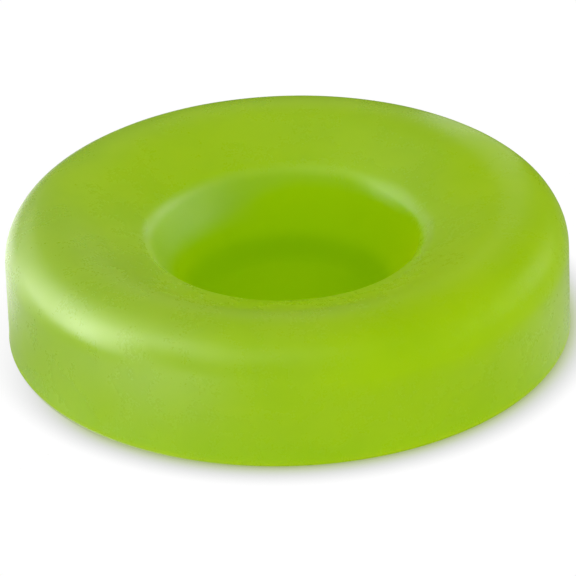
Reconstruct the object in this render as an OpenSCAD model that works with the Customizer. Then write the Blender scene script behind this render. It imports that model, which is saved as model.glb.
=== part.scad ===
// Round string dampener for a racket: one soft moulded puck with a dished top,
// a smooth side wall that the strings bear on, and a blind round recess.
// Millimetres. Z is the axis; the flat underside is at z = 0.

/* [Puck] */
// Outside diameter over the straight side wall
outer_d = 24; // [22:0.5:28]
// Overall height, from the flat underside to the top of the crown
thickness = 5.6; // [5.2:0.1:7]
// Radius on the bottom edge
base_edge_r = 0.12; // [0.05:0.01:0.3]

/* [Top face] */
// Radius of the rounded outer shoulder
shoulder_r = 1.9; // [1.4:0.1:2.4]
// Angle the shoulder turns through before it blends into the crown, degrees
shoulder_arc = 76; // [68:1:82]
// Larger radius that carries the surface over the crown
crown_r = 4.2; // [3.4:0.1:4.6]
// Slope at which the crown hands over to the dish, degrees
crown_end = 17.5; // [15:0.5:19]
// Radius of the dish that leads down to the recess
dish_r = 27.5; // [22:0.5:34]
// Slope at which the dish hands over to the rolled lip, degrees
dish_end = 22; // [20:0.5:24]

/* [Recess] */
// Radius of the rolled lip that turns down into the recess
lip_r = 1.2; // [0.9:0.1:2.2]
// Draft of the recess wall below the lip, measured from vertical, degrees
wall_draft = 28; // [18:1:34]
// Thickness of the web left under the recess
web_t = 1.2; // [0.8:0.1:1.5]
// Radius in the corner between the recess wall and the web
corner_r = 1.2; // [0.6:0.1:1.6]

/* [Hidden] */
$fn = 180;
lime = [0.61, 0.77, 0.22];

// the tighter of two tangent arcs stands this far proud of the flatter one,
// so that they cross at a clean point
lap = 0.0003;

// how far sectors reach below their rims, as a share of an arc's radius
deep = 0.95;
dish_deep = 0.7;
// core corners under the crown and lip: share of the arc's radius from its centre
core_reach = 0.6;
// degrees past a handover
crown_overrun = 5;
lip_overrun = 4;
core_lip_turn = 8;

outer_r = outer_d / 2;
// height of the straight side wall, left once the shoulder and crown are set
wall_h = thickness - crown_r - (shoulder_r - crown_r - lap) * sin(shoulder_arc);

// Profile points are [distance from the axis, height]. Angles are
// anticlockwise from the outward radial direction.

// the point at a distance and angle from a centre
function at(centre, distance, angle) =
    [centre[0] + distance * cos(angle), centre[1] + distance * sin(angle)];

// shoulder, crown, dish and lip are tangent arcs: each pair of neighbours has
// its two centres on one shared normal
shoulder_c = [outer_r - shoulder_r, wall_h];
crown_c = at(shoulder_c, shoulder_r - crown_r - lap, shoulder_arc);
crown_normal = 90 + crown_end;
dish_c = at(crown_c, crown_r - lap - dish_r, crown_normal);
dish_normal = 90 + dish_end;
lip_c = at(dish_c, dish_r + lap - lip_r, dish_normal);

// the recess wall runs down and inwards from the lip to the web
wall_normal = 180 - wall_draft;
wall_top = at(lip_c, lip_r - lap, wall_normal);
foot = [wall_top[0] - (wall_top[1] - web_t) * tan(wall_draft), web_t];

// the corner arc, less the lap, is tangent to the recess wall and to the web
corner_in = corner_r - lap;
corner_run = corner_in * tan((90 - wall_draft) / 2);
corner_c = [foot[0] - corner_run, web_t + corner_in];
corner_top = at(foot, corner_run, 90 - wall_draft);

module disc(centre, radius) {
    translate(centre) circle(r = radius);
}

// the part of a disc between two angles, under 180 degrees apart; each depth
// is how far below the rim that side starts
module sector(centre, radius, start, end, start_depth, end_depth) {
    translate(centre) intersection() {
        circle(r = radius);
        polygon([
            at([0, 0], radius - start_depth, start),
            at([0, 0], 2 * radius, start),
            at([0, 0], 3 * radius, (start + end) / 2),
            at([0, 0], 2 * radius, end),
            at([0, 0], radius - end_depth, end)
        ]);
    }
}

// straight-sided core of the half section; its upper corners end inside the arcs
module section_core() {
    polygon([
        [0, 0],
        [outer_r - base_edge_r, 0],
        [outer_r - base_edge_r, base_edge_r],
        [outer_r, base_edge_r],
        [outer_r, wall_h],
        shoulder_c,
        at(crown_c, crown_r * core_reach, 90),
        at(lip_c, lip_r * core_reach, dish_normal + core_lip_turn),
        wall_top,
        foot,
        [0, web_t]
    ]);
}

// material that rounds the inside corner between the recess wall and the web
module corner_fillet() {
    difference() {
        polygon([
            [corner_c[0], web_t / 2],
            [foot[0] + corner_r, web_t / 2],
            corner_top + [corner_r, 0],
            corner_top,
            corner_c
        ]);
        disc(corner_c, corner_r);
    }
}

// half section of the puck, on the positive side of the axis
module half_section() {
    union() {
        section_core();
        disc([outer_r - base_edge_r, base_edge_r], base_edge_r);
        disc(shoulder_c, shoulder_r);
        sector(crown_c, crown_r, shoulder_arc, crown_normal + crown_overrun,
            crown_r * deep, crown_r * deep);
        sector(dish_c, dish_r, crown_normal, dish_normal,
            crown_r * dish_deep, lip_r * dish_deep);
        sector(lip_c, lip_r, dish_normal - lip_overrun, wall_normal + lip_overrun,
            lip_r * deep, lip_r * deep);
        corner_fillet();
    }
}

module damper_puck() {
    color(lime) rotate_extrude() half_section();
}

damper_puck();
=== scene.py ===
"""Damper puck: a lime elastomer disc with a rounded crown and a recess in its top.

The puck stands on z = 0, centred on the z axis. The camera looks from the front (-y) and above,
with +x on its right. Profile and material sizes are in millimetres.
"""
import math
import bmesh
import bpy
from mathutils import Matrix, Vector, noise


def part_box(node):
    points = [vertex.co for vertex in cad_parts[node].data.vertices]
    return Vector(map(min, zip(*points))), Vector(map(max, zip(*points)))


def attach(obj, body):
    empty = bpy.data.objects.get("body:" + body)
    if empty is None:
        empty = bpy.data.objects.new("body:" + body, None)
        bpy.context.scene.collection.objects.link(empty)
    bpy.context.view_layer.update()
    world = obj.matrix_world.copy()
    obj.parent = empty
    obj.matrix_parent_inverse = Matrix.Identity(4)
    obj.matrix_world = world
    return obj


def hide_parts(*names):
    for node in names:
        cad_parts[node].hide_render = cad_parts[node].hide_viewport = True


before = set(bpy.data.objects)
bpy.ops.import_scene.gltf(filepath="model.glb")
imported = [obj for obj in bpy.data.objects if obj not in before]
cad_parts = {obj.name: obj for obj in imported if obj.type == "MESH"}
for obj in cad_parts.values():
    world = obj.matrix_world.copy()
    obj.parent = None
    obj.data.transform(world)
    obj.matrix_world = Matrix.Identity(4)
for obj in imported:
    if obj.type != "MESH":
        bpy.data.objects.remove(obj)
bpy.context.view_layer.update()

MM = 0.001
scene = bpy.context.scene

# ---------------------------------------------------------------- puck sizes
low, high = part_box("damper_puck")
RADIUS = (high.x - low.x) / 2 / MM
HEIGHT = (high.z - low.z) / MM
SEGMENTS = 256
EDGE_R = 0.12           # rounding of the bottom edge
SHOULDER_R = 1.9        # from the wall into the crown
SHOULDER_ARC = 76.0     # degrees turned by the shoulder
CROWN_R = 4.2
CROWN_END = 17.5        # degrees past the highest point
SLOPE_R = 27.5          # long arc falling inward from the crown
SLOPE_END = 22.0        # degrees past the vertical
LIP_R = 1.2             # rim of the recess
DRAFT = 28.0            # lean of the recess wall, degrees
WEB = 1.2               # height of the recess floor
CORNER_R = 1.2          # between recess wall and floor

# underside outline, (radius, height): the trimmed gate, then the flat roof of its well
WELL_ROOF = 0.18
GATE = [(0.22, 0.085), (0.36, 0.085), (0.42, 0.10), (0.45, 0.15), (0.50, 0.175), (0.60, WELL_ROOF)]
WELL_STEP, WELL_STEPS = 0.1, 8
WELL_EDGE = [(1.48, 0.175), (1.54, 0.155), (1.58, 0.11), (1.61, 0.05), (1.66, 0.012), (1.74, 0.0)]
# faint insert ring in the flat face, (radius, height)
INSERT_RING = [(8.90, 0), (8.93, 0.012), (8.97, 0.022), (9.03, 0.022), (9.07, 0.012), (9.10, 0)]
# witness bead left by the trimmed flash, (distance outside the wall, height)
BEAD = [(0.008, 0.105), (0.016, 0.13), (0.018, 0.15), (0.014, 0.175), (0.004, 0.205)]
WALL_START = 0.23

# long waves of the moulded skin: (height, frequency per mm, place in the noise)
WAVE = 0.022
WAVES = [(WAVE, 0.16, (3.1, 7.7, 1.3)), (WAVE * 0.35, 0.42, (9.2, 2.4, 5.8))]
WAVE_START, WAVE_RISE = 0.25, 1.2     # height where they begin, and over which they grow


# ---------------------------------------------------------------- puck mesh
def polar(centre, radius, degrees):
    angle = math.radians(degrees)
    return (centre[0] + radius * math.cos(angle), centre[1] + radius * math.sin(angle))


def arc(centre, radius, start, end, step):
    """Points from start to end, both included, at most step degrees apart."""
    count = max(2, int(math.ceil(abs(end - start) / step)))
    return [polar(centre, radius, start + (end - start) * i / count) for i in range(count + 1)]


def line(start, end, step):
    """Points between start and end, both left out, at most step apart."""
    count = max(1, int(math.ceil(math.dist(start, end) / step)))
    return [(start[0] + (end[0] - start[0]) * i / count, start[1] + (end[1] - start[1]) * i / count)
            for i in range(1, count)]


def underside():
    points = GATE + [(GATE[-1][0] + WELL_STEP * i, WELL_ROOF) for i in range(1, WELL_STEPS + 1)]
    points += WELL_EDGE + line(WELL_EDGE[-1], INSERT_RING[0], step=0.35)
    return points + INSERT_RING + line(INSERT_RING[-1], (RADIUS - EDGE_R, 0), step=0.35)


def profile():
    """Half section: out along the underside, up the wall, over the crown, down to the web."""
    # each arc is tangent to the one before, so its centre lies on the shared normal
    crown_stop, slope_stop, lip_stop = 90 + CROWN_END, 90 + SLOPE_END, 180 - DRAFT
    drop = (SHOULDER_R - CROWN_R) * math.sin(math.radians(SHOULDER_ARC))
    wall_top = HEIGHT - CROWN_R - drop
    shoulder = (RADIUS - SHOULDER_R, wall_top)
    crown = polar(shoulder, SHOULDER_R - CROWN_R, SHOULDER_ARC)
    slope = polar(polar(crown, CROWN_R, crown_stop), -SLOPE_R, crown_stop)
    lip = polar(polar(slope, SLOPE_R, slope_stop), -LIP_R, slope_stop)
    # the recess wall runs straight from the lip, and a corner arc turns it into the web
    recess_top = polar(lip, LIP_R, lip_stop)
    foot = (recess_top[0] - (recess_top[1] - WEB) * math.tan(math.radians(DRAFT)), WEB)
    run = CORNER_R * math.tan(math.radians((90 - DRAFT) / 2))
    corner = (foot[0] - run, WEB + CORNER_R)

    points = underside()
    points += arc((RADIUS - EDGE_R, EDGE_R), EDGE_R, -90, -18, step=12)
    points += [(RADIUS + out, z) for out, z in BEAD]
    points += line((RADIUS, WALL_START), (RADIUS, wall_top), step=0.12)
    points += arc(shoulder, SHOULDER_R, 0, SHOULDER_ARC, step=3)
    points += arc(crown, CROWN_R, SHOULDER_ARC, crown_stop, step=1.6)[1:]
    points += arc(slope, SLOPE_R, crown_stop, slope_stop, step=0.45)[1:]
    points += arc(lip, LIP_R, slope_stop, lip_stop, step=3)[1:]
    points += line(recess_top, polar(foot, run, 90 - DRAFT), step=0.11)
    points += arc(corner, CORNER_R, -DRAFT, -90, step=4)
    return points + line((corner[0], WEB), (0, WEB), step=0.2)


def soften(mesh):
    """A soft moulding is never a perfect turning: push the skin along its normals in waves."""
    for vert in mesh.verts:
        place = vert.co / MM
        rise = min(1.0, max(0.0, (place.z - WAVE_START) / WAVE_RISE))
        wave = sum(size * noise.noise(place * frequency + Vector(offset))
                   for size, frequency, offset in WAVES)
        vert.co += vert.normal * (wave * rise * MM)


def mesh_object(name, mesh, material=None):
    data = bpy.data.meshes.new(name)
    mesh.to_mesh(data)
    mesh.free()
    if material:
        data.materials.append(material)
    thing = bpy.data.objects.new(name, data)
    scene.collection.objects.link(thing)
    return thing


def revolve(name, points):
    """Turn the half section about z and close it with a fan at each end."""
    mesh = bmesh.new()
    turns = [2 * math.pi * k / SEGMENTS for k in range(SEGMENTS)]
    rings = [[mesh.verts.new((r * MM * math.sin(turn), -r * MM * math.cos(turn), z * MM))
              for turn in turns] for r, z in points]
    bottom = mesh.verts.new((0, 0, points[0][1] * MM))
    top = mesh.verts.new((0, 0, points[-1][1] * MM))
    pairs = [(k, (k + 1) % SEGMENTS) for k in range(SEGMENTS)]
    for k, j in pairs:
        mesh.faces.new((bottom, rings[0][j], rings[0][k]))
        mesh.faces.new((top, rings[-1][k], rings[-1][j]))
    for ring, following in zip(rings, rings[1:]):
        for k, j in pairs:
            mesh.faces.new((ring[k], ring[j], following[j], following[k]))
    mesh.normal_update()
    soften(mesh)
    mesh.normal_update()
    turned = mesh_object(name, mesh)
    for face in turned.data.polygons:
        face.use_smooth = True
    return turned


# ---------------------------------------------------------------- node helper
class Tree:
    """Makes shader nodes; any input may be a plain value or another node's output."""

    def __init__(self, node_tree):
        node_tree.nodes.clear()
        self.tree = node_tree

    def node(self, kind, inputs=None, **props):
        made = self.tree.nodes.new(kind)
        for key, value in props.items():
            setattr(made, key, value)
        for key, value in (inputs or {}).items():
            if isinstance(value, bpy.types.NodeSocket):
                self.tree.links.new(value, made.inputs[key])
            else:
                made.inputs[key].default_value = value
        return made

    def math(self, operation, a, b=0.0, c=0.0):
        return self.node("ShaderNodeMath", {0: a, 1: b, 2: c}, operation=operation).outputs[0]

    def times(self, value, *factors):
        for factor in factors:
            value = self.math("MULTIPLY", value, factor)
        return value

    def add(self, a, b):
        return self.math("ADD", a, b)

    def inverse(self, value):
        return self.math("SUBTRACT", 1.0, value)

    def vector(self, operation, a, b=(0, 0, 0), **scale):
        inputs = {0: a, 1: b}
        if scale:
            inputs["Scale"] = scale["scale"]
        made = self.node("ShaderNodeVectorMath", inputs, operation=operation)
        return made.outputs["Value" if operation in ("DOT_PRODUCT", "LENGTH") else "Vector"]

    def level_part(self, vector):
        return self.vector("MULTIPLY", vector, (1, 1, 0))

    def noise(self, vector, scale, detail, rough):
        inputs = {"Vector": vector, "Scale": scale, "Detail": detail, "Roughness": rough}
        return self.node("ShaderNodeTexNoise", inputs).outputs[0]

    def remap(self, value, start, end, low=0.0, high=1.0, smooth=True):
        """Goes from low to high as value goes from start to end."""
        return self.node("ShaderNodeMapRange", {0: value, 1: start, 2: end, 3: low, 4: high},
                         interpolation_type="SMOOTHSTEP" if smooth else "LINEAR").outputs[0]

    def mix(self, share, base, other):
        return self.node("ShaderNodeMix", {0: share, 6: base, 7: other},
                         data_type="RGBA").outputs[2]

    def pick(self, choice, otherwise, chosen):
        """Shader chosen where choice is 1."""
        return self.node("ShaderNodeMixShader", {0: choice, 1: otherwise, 2: chosen}).outputs[0]

    def emission(self, **inputs):
        return self.node("ShaderNodeEmission", inputs).outputs[0]

    def bump(self, **inputs):
        return self.node("ShaderNodeBump", inputs).outputs[0]


def new_material(name):
    material = bpy.data.materials.new(name)
    material.use_nodes = True
    return material, Tree(material.node_tree)


# ---------------------------------------------------------------- puck material
BASE_DARK = (0.440, 0.735, 0.0008, 1)
BASE_LIGHT = (0.475, 0.770, 0.0016, 1)
SPECKLE = (0.55, 0.80, 0.012, 1)
# painted shade: a darker, greener colour mixed into the recess floor
WEB_SHADE_COLOUR = (0.20, 0.52, 0.0005, 1)
WEB_SHADE_SHARE = 0.42
ROUGH = 0.275
GLOSS = 0.5
# change of gloss under each mask
FILM_GLOSS, DULL_GLOSS, GLAZE_GLOSS, EDGE_GLOSS = 0.85, -0.36, 0.75, 0.30
# change of roughness with the fine grain, and under the film mask
GRAIN_ROUGH, FILM_ROUGH = 0.06, 0.20
# level headings across the puck, for the masks on its outside
RIGHT_FRONT, LEFT_FRONT = (0.95, -0.30, 0), (-0.88, -0.47, 0)


def elastomer():
    """Lime elastomer: satin moulded skin over a slightly cloudy body."""
    material, tree = new_material("lime_elastomer")
    remap, times = tree.remap, tree.times
    place = tree.node("ShaderNodeTexCoord").outputs["Object"]
    place = tree.vector("SCALE", place, scale=1 / MM)
    x, y, z = tree.node("ShaderNodeSeparateXYZ", {0: place}).outputs
    radius = tree.vector("LENGTH", tree.level_part(place))

    # masks in object millimetres; they aren't known features of the puck
    inside = times(remap(radius, start=6.1, end=5.6), remap(z, start=0.5, end=0.9, smooth=False))
    # pit: low in the recess, reaching higher on the right
    level = tree.add(z, remap(x, start=-4.0, end=1.0, high=-1.15))
    pit = times(inside, remap(level, start=3.4, end=2.5))
    # web: the recess floor, where painted shade darkens the colour
    web = times(inside, remap(z, start=2.3, end=1.3))
    # film: upper left flank of the recess
    film = times(inside, remap(x, start=-0.8, end=-4.4), remap(z, start=2.3, end=3.3))
    # edge: near half of the lip
    near = tree.add(radius, remap(y, start=-2.0, end=-5.5, high=-0.6))
    edge = times(remap(near, start=6.42, end=6.16), remap(z, start=4.1, end=4.4),
                 remap(y, start=2.0, end=-0.5))
    # dull: right shoulder; glaze: left front shoulder
    rightward = tree.vector("DOT_PRODUCT", place, RIGHT_FRONT)
    dull = times(remap(rightward, start=3.5, end=7.0), remap(z, start=2.6, end=4.0))
    leftward = tree.vector("DOT_PRODUCT", place, LEFT_FRONT)
    glaze = times(remap(leftward, start=6.5, end=9.5), remap(z, start=0.8, end=4.2))

    # colour: slow cloudiness, a very fine pigment speckle, painted shade on the web
    cloud = tree.noise(place, scale=0.23, detail=3.0, rough=0.55)
    speck = tree.noise(place, scale=7.0, detail=2.0, rough=0.6)
    colour = tree.mix(remap(cloud, start=0.32, end=0.68), BASE_DARK, BASE_LIGHT)
    speckled = remap(speck, start=0.62, end=0.80, high=0.10, smooth=False)
    colour = tree.mix(speckled, colour, SPECKLE)
    colour = tree.mix(times(web, WEB_SHADE_SHARE), colour, WEB_SHADE_COLOUR)

    gloss = remap(pit, start=0.0, end=1.0, low=GLOSS, high=0.0, smooth=False)
    for mask, change in ((film, FILM_GLOSS), (dull, DULL_GLOSS),
                         (glaze, GLAZE_GLOSS), (edge, EDGE_GLOSS)):
        gloss = tree.math("MULTIPLY_ADD", mask, change, gloss)

    # sheen: slow patches and fine grain
    patch = tree.noise(place, scale=0.42, detail=4.0, rough=0.6)
    grain = tree.noise(place, scale=11.0, detail=2.0, rough=0.5)
    rough = remap(patch, start=0.30, end=0.70, low=ROUGH - 0.03, high=ROUGH + 0.04)
    rough = tree.math("MULTIPLY_ADD", tree.math("SUBTRACT", grain, 0.5), GRAIN_ROUGH, rough)
    rough = tree.math("MULTIPLY_ADD", film, FILM_ROUGH, rough)

    # relief: eroded mould grain a tenth of a millimetre across, and a faint orange peel
    peel = tree.noise(place, scale=1.3, detail=2.0, rough=0.5)
    relief = tree.bump(Strength=0.22, Distance=0.004 * MM, Height=grain)
    relief = tree.bump(Strength=0.5, Distance=0.012 * MM, Height=peel, Normal=relief)

    skin = tree.node("ShaderNodeBsdfPrincipled", {
        "Base Color": colour,
        "Specular IOR Level": gloss,
        "Roughness": rough,
        "IOR": 1.45,
        "Subsurface Weight": 0.6,
        "Subsurface Radius": (1.0, 1.0, 0.25),
        "Subsurface Scale": 1.2 * MM,
        "Normal": relief,
    })
    tree.node("ShaderNodeOutputMaterial", {0: skin.outputs[0]})
    return material


puck = revolve("puck_body", profile())
puck.data.materials.append(elastomer())
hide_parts("damper_puck")
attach(puck, "root")

# ---------------------------------------------------------------- light tables
# each entry: (azimuth, elevation, power); azimuth 0 is behind the puck, 90 on its right
# soft light that shapes the body: even all round, fuller from the front
FILL = 0.55
FRONT = [(135, 22, 0.10), (180, 28, 0.40), (225, 18, 0.19), (82, 18, 0.48), (258, 6, 0.32)]
# what the satin skin mirrors: a low wide softbox on the left, a smaller one on the right,
# a dim room
SHEEN = [
    (0, 0, 0.03), (120, 0, 0.40), (210, 0, 0.39), (240, 0, 0.91), (270, 0, 2.4), (300, 0, 2.6),
    (330, 0, 0.15), (8, 24, 0.34), (30, 18, 0.08), (60, 18, 2.8), (90, 18, 1.7), (120, 18, 0.3),
    (270, 18, 3.6), (300, 18, 1.4), (330, 18, 0.74), (150, 36, 0.09), (210, 36, 0.26),
    (270, 36, 2.5), (300, 36, 1.4), (0, 54, 0.06), (0, 72, 0.12), (30, 54, 0.03),
    (120, 54, 0.4), (150, 54, 0.38), (210, 54, 1.1), (270, 54, 0.16), (300, 54, 0.2),
    (330, 54, 0.39), (250, 58, 0.7), (185, 70, 0.4), (270, 72, 0.51),
]
# what it mirrors of the floor
FLOOR_SHEEN = [(0, 0, 0.05), (60, 0, 0.27), (100, 0, 0.50),
               (150, 0, 0.03), (222, 0, 0.95), (300, 0, 1.7)]


def heading(azimuth, elevation):
    turn, lift = math.radians(azimuth), math.radians(elevation)
    return (math.sin(turn) * math.cos(lift), math.cos(turn) * math.cos(lift), math.sin(lift))


def lobes(tree, direction, table, tight):
    """Sum of soft round lights, each falling off with the angle from its heading."""
    total = 0.0
    for azimuth, elevation, power in table:
        facing = tree.vector("DOT_PRODUCT", direction, heading(azimuth, elevation))
        lobe = tree.math("EXPONENT", tree.math("MULTIPLY_ADD", facing, tight, -tight))
        total = tree.math("MULTIPLY_ADD", lobe, power, total)
    return total


# ---------------------------------------------------------------- floor
SHADE_REACH = 1.6 * MM
SHADE_SIDE = (0.94, -0.34, 0)       # the contact shade is fainter on the side away from this
# floor colour by openness, from the green contact shade out to white
SHADE_STOPS = [
    (0.50, (0.42, 0.50, 0.25, 1)), (0.60, (0.58, 0.64, 0.45, 1)),
    (0.70, (0.69, 0.715, 0.66, 1)), (0.80, (0.80, 0.805, 0.80, 1)), (1.0, (1.0, 1.0, 1.0, 1)),
]


def floor_material():
    """Pale floor that shows the camera, the puck's gloss and its body each their own light."""
    material, tree = new_material("floor_pale")
    geometry = tree.node("ShaderNodeNewGeometry").outputs
    ray = tree.node("ShaderNodeLightPath").outputs

    def outward():
        return tree.vector("NORMALIZE", tree.level_part(geometry["Position"]))

    # for the camera: white, with the contact shade
    shade = tree.node("ShaderNodeAmbientOcclusion", {"Distance": SHADE_REACH}, samples=16)
    side = tree.vector("DOT_PRODUCT", outward(), SHADE_SIDE)
    closed = tree.times(tree.inverse(shade.outputs["AO"]),
                        tree.remap(side, start=-1.0, end=-0.35, low=0.15))
    ramp = tree.node("ShaderNodeValToRGB", {0: tree.inverse(closed)})
    elements = ramp.color_ramp.elements
    for element, stop in zip(elements, (SHADE_STOPS[0], SHADE_STOPS[-1])):
        element.position, element.color = stop
    for position, colour in SHADE_STOPS[1:-1]:
        elements.new(position).color = colour
    seen = tree.emission(Color=ramp.outputs[0], Strength=1.01)

    # for the puck's gloss: a ring of soft lights; for its body: a lit, faintly glowing floor
    mirror = tree.emission(Strength=lobes(tree, outward(), FLOOR_SHEEN, tight=8.0))
    lit = tree.node("ShaderNodeBsdfDiffuse", {"Color": (0.80, 0.80, 0.80, 1)}).outputs[0]
    glowing = tree.node("ShaderNodeAddShader", {0: lit, 1: tree.emission(Strength=0.16)})
    clear = tree.node("ShaderNodeBsdfTransparent").outputs[0]
    surface = tree.pick(ray["Is Glossy Ray"], glowing.outputs[0], mirror)
    surface = tree.pick(ray["Is Camera Ray"], surface, seen)
    # clear from below and under the puck, so the underside can be looked at
    distance = tree.vector("LENGTH", geometry["Position"])
    covered = tree.math("LESS_THAN", distance, (RADIUS - EDGE_R) * MM)
    hidden = tree.math("MAXIMUM", geometry["Backfacing"], covered)
    tree.node("ShaderNodeOutputMaterial", {0: tree.pick(hidden, surface, clear)})
    return material


grid = bmesh.new()
bmesh.ops.create_grid(grid, x_segments=1, y_segments=1, size=3.0)
floor = mesh_object("studio_floor", grid, floor_material())
floor.location.z = -0.004 * MM


# ---------------------------------------------------------------- world and card
def build_world():
    """White to the camera, SHEEN to glossy rays and the soft fill to all others."""
    world = bpy.data.worlds.new("studio")
    scene.world = world
    world.use_nodes = True
    tree = Tree(world.node_tree)
    ray = tree.node("ShaderNodeLightPath").outputs
    glossy, camera = ray["Is Glossy Ray"], ray["Is Camera Ray"]
    way = tree.node("ShaderNodeTexCoord").outputs["Generated"]
    fill = tree.add(lobes(tree, way, FRONT, tight=8.0), FILL)
    sheen = lobes(tree, way, SHEEN, tight=27.0)
    level = tree.add(tree.times(glossy, sheen), tree.times(tree.inverse(glossy), fill))
    level = tree.add(tree.times(tree.inverse(camera), level), camera)
    sky = tree.node("ShaderNodeBackground", {"Color": (1, 1, 1, 1), "Strength": level})
    tree.node("ShaderNodeOutputWorld", {0: sky.outputs[0]})
    # skin and body see different light, so the sky is found by the rays themselves
    world.cycles.sampling_method = "NONE"


CARD_WIDTH, CARD_LENGTH = 8 * MM, 18 * MM
CARD_POWER = 0.75       # over pi times the card's area
CARD_PLACE = Vector((11.5, 27.0, 11.0)) * MM
CARD_FACING = Vector((-15.0, -27.0, -6.0))


def add_card():
    """Narrow white card close behind the puck, picked up only by the inside of the lip."""
    light = bpy.data.lights.new("card", "AREA")
    light.shape = "RECTANGLE"
    light.size, light.size_y = CARD_WIDTH, CARD_LENGTH
    light.energy = math.pi * CARD_WIDTH * CARD_LENGTH * CARD_POWER
    card = bpy.data.objects.new("card", light)
    card.location = CARD_PLACE
    card.rotation_mode = "QUATERNION"
    card.rotation_quaternion = CARD_FACING.to_track_quat("-Z", "Y")
    card.visible_camera = card.visible_diffuse = False
    scene.collection.objects.link(card)


build_world()
add_card()

# ---------------------------------------------------------------- camera
DISTANCE = 24.66                                # in puck radii
AIM_RIGHT, AIM_UP = -0.0013484826, 0.129578     # aim point across the view, in puck radii
ELEVATION, ROLL = 29.51, 2.04                   # degrees
SENSOR, LENS = 36.0, 431.84284                  # mm


def add_camera():
    lift, roll = math.radians(ELEVATION), math.radians(ROLL)
    back = Vector((0, -math.cos(lift), math.sin(lift)))
    up = Vector((0, math.sin(lift), math.cos(lift)))
    place = back * (DISTANCE * RADIUS * MM)
    target = (Vector((1, 0, 0)) * AIM_RIGHT + up * AIM_UP) * (RADIUS * MM)
    forward = (target - place).normalized()
    upright = (up - up.dot(forward) * forward).normalized()
    across = forward.cross(upright)
    camera_right = math.cos(roll) * across - math.sin(roll) * upright
    camera_up = math.sin(roll) * across + math.cos(roll) * upright
    lens = bpy.data.cameras.new("camera")
    lens.sensor_width = SENSOR
    lens.lens = LENS
    lens.clip_start, lens.clip_end = 0.01, 20.0
    camera = bpy.data.objects.new("camera", lens)
    scene.collection.objects.link(camera)
    pose = Matrix((camera_right, camera_up, -forward)).transposed().to_4x4()
    pose.translation = place
    camera.matrix_world = pose
    scene.camera = camera


add_camera()
view = scene.view_settings
view.view_transform = "Standard"
view.look = "None"
view.exposure = 0.0
view.gamma = 1.0

bpy.context.view_layer.update()
